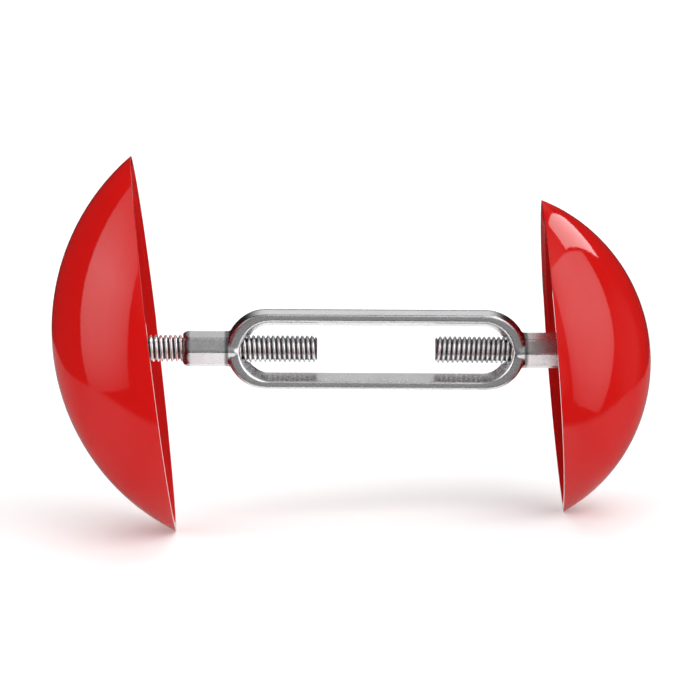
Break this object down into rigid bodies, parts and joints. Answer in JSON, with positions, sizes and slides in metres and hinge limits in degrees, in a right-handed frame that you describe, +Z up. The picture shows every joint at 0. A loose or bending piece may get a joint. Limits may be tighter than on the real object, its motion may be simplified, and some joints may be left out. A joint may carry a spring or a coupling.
{
  "type": "shoe stretcher",
  "caption": "Shoe stretcher: a large and a small domed plastic shell, each free to rock on the head of a screw, pushed apart by a turnbuckle with opposite threads.",
  "frame": {"origin": "centre of the turnbuckle's slot, on the common axis of the two screws", "axes": "+X along the screw axis from the large shell towards the small one; +Y through the slot, from the side seen in the picture to the far side; +Z upwards in the plane of the loop, as in the picture"},
  "size_m": [0.1106, 0.0456, 0.0701],
  "materials": {
    "shell_plastic": "glossy, injection moulded",
    "loop_metal": "bright plated die casting",
    "screw_steel": "bright zinc plated, rolled thread",
    "plate_steel": "zinc plated sheet steel"
  },
  "bodies": {
    "turnbuckle": {"turnbuckle": "loop_metal"},
    "large_washer": {"large_head_washer": "plate_steel"},
    "right_hand_screw": {"right_hand_screw": "screw_steel"},
    "large_end": {"large_shell": "shell_plastic", "large_keeper_plate": "plate_steel", "large_plate_screws": "screw_steel"},
    "small_washer": {"small_head_washer": "plate_steel"},
    "left_hand_screw": {"left_hand_screw": "screw_steel"},
    "small_end": {"small_shell": "shell_plastic", "small_keeper_plate": "plate_steel", "small_plate_screws": "screw_steel"}
  },
  "joints": [
    {"name": "large_travel", "type": "slide", "parent": "turnbuckle", "child": "large_washer", "axis": [-1, 0, 0], "range_m": [-0.0063, 0.0126]},
    {"name": "large_spin", "type": "hinge", "parent": "large_washer", "child": "right_hand_screw", "pos_m": [-0.04645, 0, 0], "axis": [-1, 0, 0], "range_deg": [-2520, 5040]},
    {"name": "large_rock", "type": "hinge", "parent": "right_hand_screw", "child": "large_end", "pos_m": [-0.04645, 0, 0], "axis": [0, 1, 0], "range_deg": [-0.6, 14.4]},
    {"name": "small_travel", "type": "slide", "parent": "turnbuckle", "child": "small_washer", "axis": [1, 0, 0], "range_m": [-0.0063, 0.0126]},
    {"name": "small_spin", "type": "hinge", "parent": "small_washer", "child": "left_hand_screw", "pos_m": [0.04645, 0, 0], "axis": [-1, 0, 0], "range_deg": [-2520, 5040]},
    {"name": "small_rock", "type": "hinge", "parent": "left_hand_screw", "child": "small_end", "pos_m": [0.04645, 0, 0], "axis": [0, 1, 0], "range_deg": [-2.5, 12.5]}
  ],
  "couplings": [
    {"joint": "large_spin", "follows": "large_travel", "rad_per_m": 6981.3},
    {"joint": "small_spin", "follows": "large_travel", "rad_per_m": 6981.3},
    {"joint": "small_travel", "follows": "large_travel", "ratio": 1}
  ]
}
